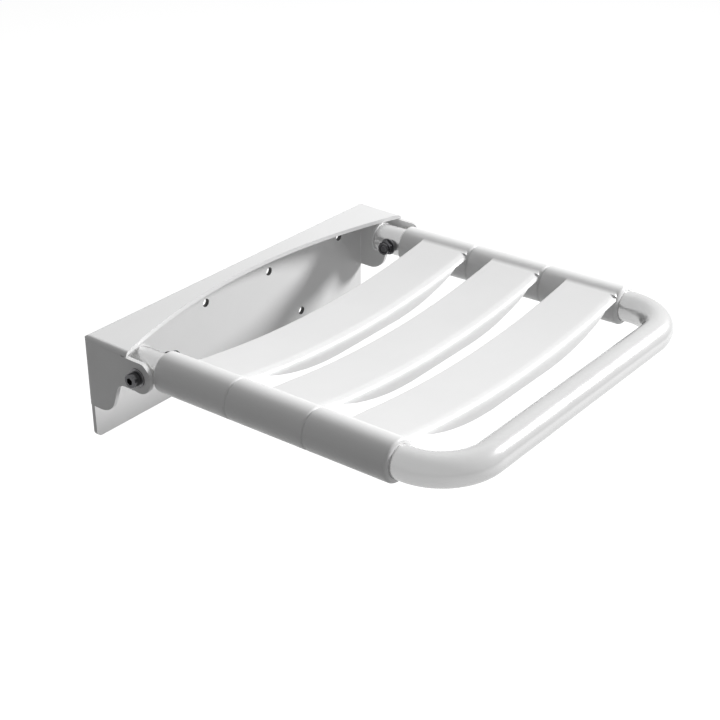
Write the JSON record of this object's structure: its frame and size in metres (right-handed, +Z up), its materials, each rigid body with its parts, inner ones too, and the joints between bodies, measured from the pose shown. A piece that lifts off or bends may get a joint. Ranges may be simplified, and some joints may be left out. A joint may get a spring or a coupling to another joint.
{
  "type": "fold down wall seat",
  "caption": "Wall-mounted seat of curved slats on a bent tube frame, hinged on a folded sheet bracket and turning up flat against the wall.",
  "frame": {"origin": "midway between the upper mounting holes, on the back face of the wall plate, which is the wall's surface", "axes": "+X along the wall to the right as seen from the seat's rear, +Y into the wall, +Z up; the seat reaches out along -Y"},
  "size_m": [0.4092, 0.3979, 0.1138],
  "materials": {
    "bracket_coat": "satin white powder coat",
    "tube_coat": "gloss white powder coat",
    "slat": "satin white moulded plastic",
    "plug": "satin light grey plastic",
    "nylon": "natural white nylon",
    "steel": "turned stainless steel",
    "bolt_steel": "dark plated steel",
    "washer_steel": "pressed stainless steel",
    "insert": "nylon locking ring"
  },
  "bodies": {
    "bracket": {"wall_bracket": "bracket_coat", "left_pivot_bolt": "bolt_steel", "left_head_washer": "washer_steel", "left_inner_washer": "washer_steel", "left_lock_nut": "bolt_steel", "left_nut_insert": "insert", "right_pivot_bolt": "bolt_steel", "right_head_washer": "washer_steel", "right_inner_washer": "washer_steel", "right_lock_nut": "bolt_steel", "right_nut_insert": "insert"},
    "seat": {"frame_tube": "tube_coat", "rear_slat": "slat", "middle_slat": "slat", "front_slat": "slat", "left_end_plug": "plug", "left_spacer": "nylon", "left_crush_tube": "steel", "right_end_plug": "plug", "right_spacer": "nylon", "right_crush_tube": "steel"}
  },
  "joints": [
    {"name": "seat_fold", "type": "hinge", "parent": "bracket", "child": "seat", "pos_m": [0, -0.0678, 0.0065], "axis": [-1, 0, 0], "range_deg": [0, 87]}
  ]
}
